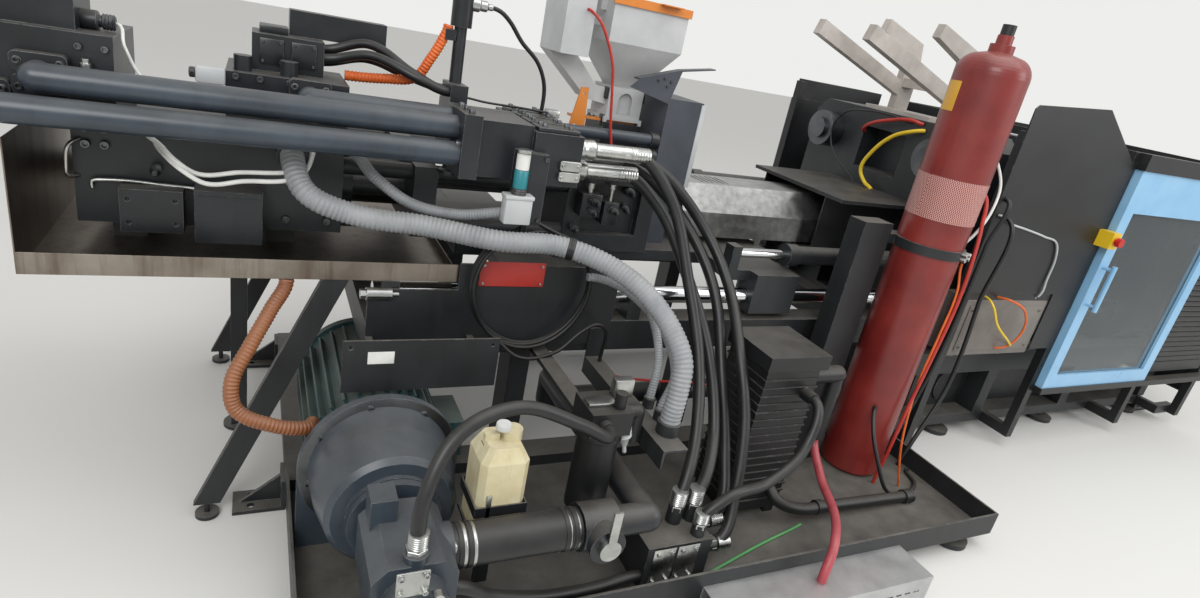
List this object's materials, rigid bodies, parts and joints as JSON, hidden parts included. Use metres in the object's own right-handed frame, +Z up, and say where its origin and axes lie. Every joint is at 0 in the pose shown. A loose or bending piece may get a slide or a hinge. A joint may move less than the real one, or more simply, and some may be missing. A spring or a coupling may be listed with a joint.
{
  "type": "injection moulding machine",
  "caption": "Horizontal hydraulic injection moulding machine with open service side, sliding injection unit, clamp, guard doors and hydraulic pack",
  "frame": {"origin": "middle of the footprint, on the floor", "axes": "+X from the injection end to the clamping end along the screw axis, +Y from the service side to the operator side, +Z up"},
  "size_m": [5.6, 2.2, 1.83],
  "materials": {
    "black_sheet": "satin",
    "frame_black": "semi-matt",
    "casting_black": "painted, semi-matt",
    "stainless": "brushed, stained",
    "aluminium": "mill",
    "chrome": "polished",
    "steel": "turned",
    "galvanised": "zinc",
    "teal": "satin",
    "blue_grey": "semi-gloss",
    "door_blue": "gloss",
    "window": "clear",
    "yellow": "gloss",
    "red_button": "gloss",
    "bottle_red": "worn",
    "oil_can": "translucent, yellowed",
    "hose_rubber": "smooth",
    "conduit_grey": "corrugated",
    "cable_black": "smooth",
    "wire_red": "smooth",
    "hopper_grey": "satin",
    "orange": "gloss",
    "dark_plastic": "fine grain",
    "band_steel": "heat tinted"
  },
  "bodies": {
    "frame": {"base_frame": "frame_black", "bed": "frame_black", "floor_fixings": "galvanised", "floor_duct": "aluminium", "guide_rails": "chrome", "drip_tray": "stainless", "tray_legs": "black_sheet", "fixed_platen": "casting_black", "tie_bars": "chrome", "cylinder_platen": "casting_black", "purge_guard": "black_sheet", "guard_covers": "black_sheet", "guard_frame": "black_sheet", "operator_panel": "dark_plastic", "estop_box": "yellow", "robot_mount": "aluminium", "motor_housing": "teal", "bell_housing": "blue_grey", "pump_body": "blue_grey", "suction_hose": "hose_rubber", "suction_valve": "steel", "oil_filter": "casting_black", "pack_brackets": "frame_black", "oil_can": "oil_can", "oil_cooler": "casting_black", "accumulator_bottle": "bottle_red", "pull_in_cylinders": "casting_black", "pack_hoses": "hose_rubber", "cables": "wire_red"},
    "crosshead": {"crosshead": "casting_black"},
    "screw": {"screw": "steel"},
    "moving_platen": {"moving_platen": "casting_black", "clamp_ram": "chrome"},
    "ejector": {"ejector_plate": "steel"},
    "guard_door": {"guard_door": "door_blue", "door_window": "window"},
    "far_door": {"far_door": "door_blue"},
    "estop_button": {"estop_button": "red_button"},
    "hopper_lid": {"hopper_lid": "orange"},
    "hopper_gate": {"hopper_gate": "orange"},
    "suction_lever": {"suction_lever": "steel"},
    "accumulator_valve": {"accumulator_valve": "dark_plastic"},
    "motor_rotor": {"motor_rotor": "steel"},
    "carriage": {"carriage_base": "casting_black", "barrel_housing": "casting_black", "barrel": "steel", "nozzle": "steel", "heater_bands": "band_steel", "barrel_cover": "aluminium", "injection_cylinders": "casting_black", "valve_blocks": "casting_black", "rigid_tubes": "blue_grey", "tube_clamp": "frame_black", "pull_in_rods": "chrome", "hopper": "hopper_grey", "junction_box": "hopper_grey", "manifold_hoses": "hose_rubber", "cable_coil": "cable_black", "pressure_hoses": "hose_rubber", "conduits": "conduit_grey"}
  },
  "joints": [
    {"name": "carriage_slide", "type": "slide", "parent": "frame", "child": "carriage", "axis": [1, 0, 0], "range_m": [0, 0.2], "deforming": ["pressure_hoses", "conduits"]},
    {"name": "injection_slide", "type": "slide", "parent": "carriage", "child": "crosshead", "axis": [1, 0, 0], "range_m": [0, 0.2]},
    {"name": "screw_spin", "type": "hinge", "parent": "crosshead", "child": "screw", "pos_m": [-1, 0.25, 0.96], "axis": [1, 0, 0], "continuous": true},
    {"name": "clamp_slide", "type": "slide", "parent": "frame", "child": "moving_platen", "axis": [1, 0, 0], "range_m": [-0.15, 0.25]},
    {"name": "ejector_slide", "type": "slide", "parent": "moving_platen", "child": "ejector", "axis": [-1, 0, 0], "range_m": [0, 0.1]},
    {"name": "door_slide", "type": "slide", "parent": "frame", "child": "guard_door", "axis": [1, 0, 0], "range_m": [0, 0.62]},
    {"name": "far_door_slide", "type": "slide", "parent": "frame", "child": "far_door", "axis": [1, 0, 0], "range_m": [0, 0.62]},
    {"name": "estop_press", "type": "slide", "parent": "frame", "child": "estop_button", "axis": [0, 1, 0], "range_m": [0, 0.006], "stiffness_N_per_m": 600},
    {"name": "hopper_lid_hinge", "type": "hinge", "parent": "carriage", "child": "hopper_lid", "pos_m": [-1.133, 0.25, 1.6629], "axis": [0, -1, 0], "range_deg": [0, 100]},
    {"name": "hopper_gate_slide", "type": "slide", "parent": "carriage", "child": "hopper_gate", "axis": [-1, 0, 0], "range_m": [0, 0.16]},
    {"name": "suction_lever_turn", "type": "hinge", "parent": "frame", "child": "suction_lever", "pos_m": [-1.373, -0.97, 0.335], "axis": [0, 1, 0], "range_deg": [0, 90]},
    {"name": "accumulator_valve_turn", "type": "hinge", "parent": "frame", "child": "accumulator_valve", "pos_m": [0.065, -0.45, 1.79], "axis": [0, 0, 1], "range_deg": [0, 720]},
    {"name": "motor_spin", "type": "hinge", "parent": "frame", "child": "motor_rotor", "pos_m": [-1.87, -0.3, 0.32], "axis": [0, 1, 0], "continuous": true}
  ]
}
